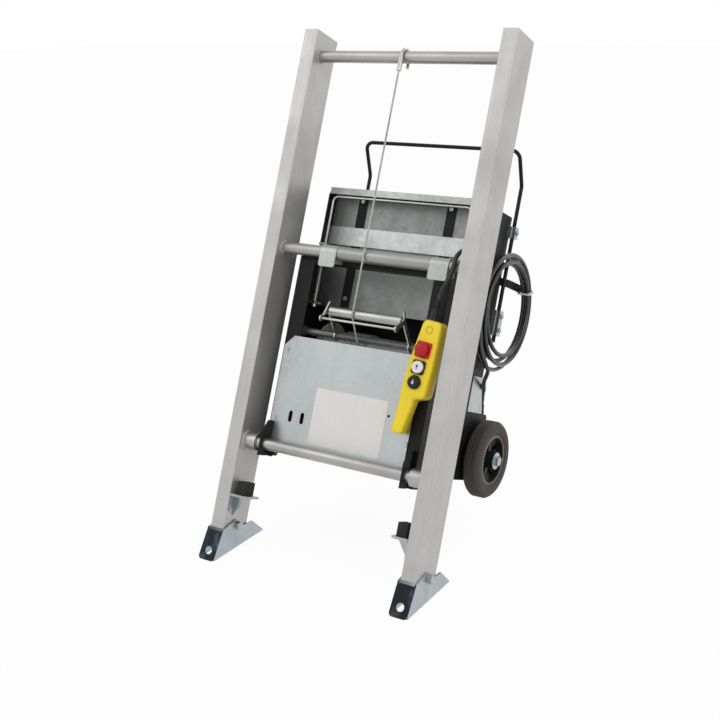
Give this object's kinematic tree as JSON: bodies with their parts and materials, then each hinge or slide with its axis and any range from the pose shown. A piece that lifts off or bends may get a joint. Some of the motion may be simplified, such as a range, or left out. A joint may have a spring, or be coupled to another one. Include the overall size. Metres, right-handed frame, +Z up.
{
  "type": "material hoist",
  "caption": "Leaning ladder base of a material hoist with pivoting feet, an electric rope winch hung on its rungs, transport wheels, a bow handle and a hand control on a coiled cable.",
  "frame": {"origin": "on the ground under the middle of the hoist, half way from the toes to the rearmost point of the handle", "axes": "+X to the right seen from the front, +Y back, +Z up; the ladder leans back towards +Y"},
  "size_m": [0.6242, 0.7531, 1.2602],
  "materials": {
    "mill_aluminium": "mill finish extrusion",
    "galvanised_sheet": "galvanised sheet",
    "zinc_plate": "bright zinc plating",
    "black_paint": "black powder coat",
    "grey_sheet": "dull galvanised sheet",
    "machine_grey": "grey machine paint",
    "dark_steel": "oiled steel",
    "bright_steel": "bright steel",
    "wire_rope": "stranded steel rope",
    "rubber_pad": "moulded rubber",
    "tyre": "grey-black tyre rubber",
    "wheel_plastic": "moulded black plastic",
    "cable": "smooth black sheath",
    "black_plastic": "moulded black plastic",
    "yellow_plastic": "moulded yellow plastic",
    "red_plastic": "moulded red plastic",
    "white_plastic": "moulded white plastic"
  },
  "bodies": {
    "frame": {"rail_left": "mill_aluminium", "rail_right": "mill_aluminium", "lower_rung": "mill_aluminium", "middle_rung": "mill_aluminium", "upper_rung": "mill_aluminium", "stop_brackets": "zinc_plate", "stop_pads": "rubber_pad", "stop_bolts": "zinc_plate", "foot_bolts": "zinc_plate", "upright_left": "black_paint", "upright_right": "black_paint", "rung_forks": "black_paint", "hook_rail": "black_paint", "rung_hooks": "galvanised_sheet", "front_cover": "galvanised_sheet", "panel_bolts": "zinc_plate", "side_panel_left": "black_paint", "side_panel_right": "black_paint", "lid": "galvanised_sheet", "rear_panel": "black_paint", "inner_panel": "grey_sheet", "cross_band": "galvanised_sheet", "lid_straps": "black_paint", "rear_housing": "black_paint", "terminal_cover": "galvanised_sheet", "cross_shaft": "dark_steel", "motor": "machine_grey", "gearbox": "machine_grey", "drum_bearings": "machine_grey", "bail_springs": "bright_steel", "bail_guides": "zinc_plate", "handle": "black_paint", "handle_clamps": "zinc_plate", "axle": "zinc_plate", "hub_nuts": "zinc_plate", "coil_arm": "black_paint", "cable_coil": "cable", "cable_lead": "cable", "pendant_cable": "cable", "cable_gland": "black_plastic", "pendant_body": "yellow_plastic", "pendant_boot": "black_plastic", "button_plates": "black_plastic", "wire_rope": "wire_rope", "rope_hook": "bright_steel"},
    "left_foot": {"foot_left": "zinc_plate"},
    "right_foot": {"foot_right": "zinc_plate"},
    "left_wheel": {"wheel_left": "wheel_plastic", "tyre_left": "tyre"},
    "right_wheel": {"wheel_right": "wheel_plastic", "tyre_right": "tyre"},
    "drum_unit": {"drum": "bright_steel", "drum_shaft": "dark_steel", "rope_winding": "wire_rope"},
    "slack_arm_unit": {"slack_arm": "bright_steel"},
    "roller_unit": {"guide_roller": "bright_steel"},
    "bail_unit": {"limit_bail": "bright_steel"},
    "estop_unit": {"estop_button": "red_plastic"},
    "up_unit": {"up_button": "white_plastic"},
    "down_unit": {"down_button": "black_plastic"}
  },
  "joints": [
    {"name": "left_foot_pivot", "type": "hinge", "parent": "frame", "child": "left_foot", "pos_m": [-0.2775, -0.26686, 0.057], "axis": [1, 0, 0], "range_deg": [-12, 22]},
    {"name": "right_foot_pivot", "type": "hinge", "parent": "frame", "child": "right_foot", "pos_m": [0.2775, -0.26686, 0.057], "axis": [1, 0, 0], "range_deg": [-12, 22]},
    {"name": "left_wheel_turn", "type": "hinge", "parent": "frame", "child": "left_wheel", "pos_m": [-0.245, 0.14696, 0.19083], "axis": [1, 0, 0], "continuous": true},
    {"name": "right_wheel_turn", "type": "hinge", "parent": "frame", "child": "right_wheel", "pos_m": [0.245, 0.14696, 0.19083], "axis": [1, 0, 0], "continuous": true},
    {"name": "drum_turn", "type": "hinge", "parent": "frame", "child": "drum_unit", "pos_m": [0, 0.02333, 0.45419], "axis": [1, 0, 0], "continuous": true},
    {"name": "slack_arm_swing", "type": "hinge", "parent": "frame", "child": "slack_arm_unit", "pos_m": [0, -0.04005, 0.5259], "axis": [-1, 0, 0], "range_deg": [0, 8], "stiffness_Nm_per_rad": 6, "springref_deg": -5.73},
    {"name": "guide_roller_turn", "type": "hinge", "parent": "slack_arm_unit", "child": "roller_unit", "pos_m": [0, -0.06982, 0.59776], "axis": [1, 0, 0], "continuous": true},
    {"name": "limit_bail_slide", "type": "slide", "parent": "frame", "child": "bail_unit", "axis": [0, 0.3827, 0.9239], "range_m": [-0.02, 0], "stiffness_N_per_m": 800, "springref_m": 0.02, "deforming": ["bail_springs"]},
    {"name": "estop_press", "type": "slide", "parent": "frame", "child": "estop_unit", "axis": [0, 0.9239, -0.3827], "range_m": [0, 0.004], "stiffness_N_per_m": 600, "springref_m": -0.004},
    {"name": "up_press", "type": "slide", "parent": "frame", "child": "up_unit", "axis": [0, 0.9239, -0.3827], "range_m": [0, 0.004], "stiffness_N_per_m": 400, "springref_m": -0.004},
    {"name": "down_press", "type": "slide", "parent": "frame", "child": "down_unit", "axis": [0, 0.9239, -0.3827], "range_m": [0, 0.004], "stiffness_N_per_m": 400, "springref_m": -0.004}
  ]
}
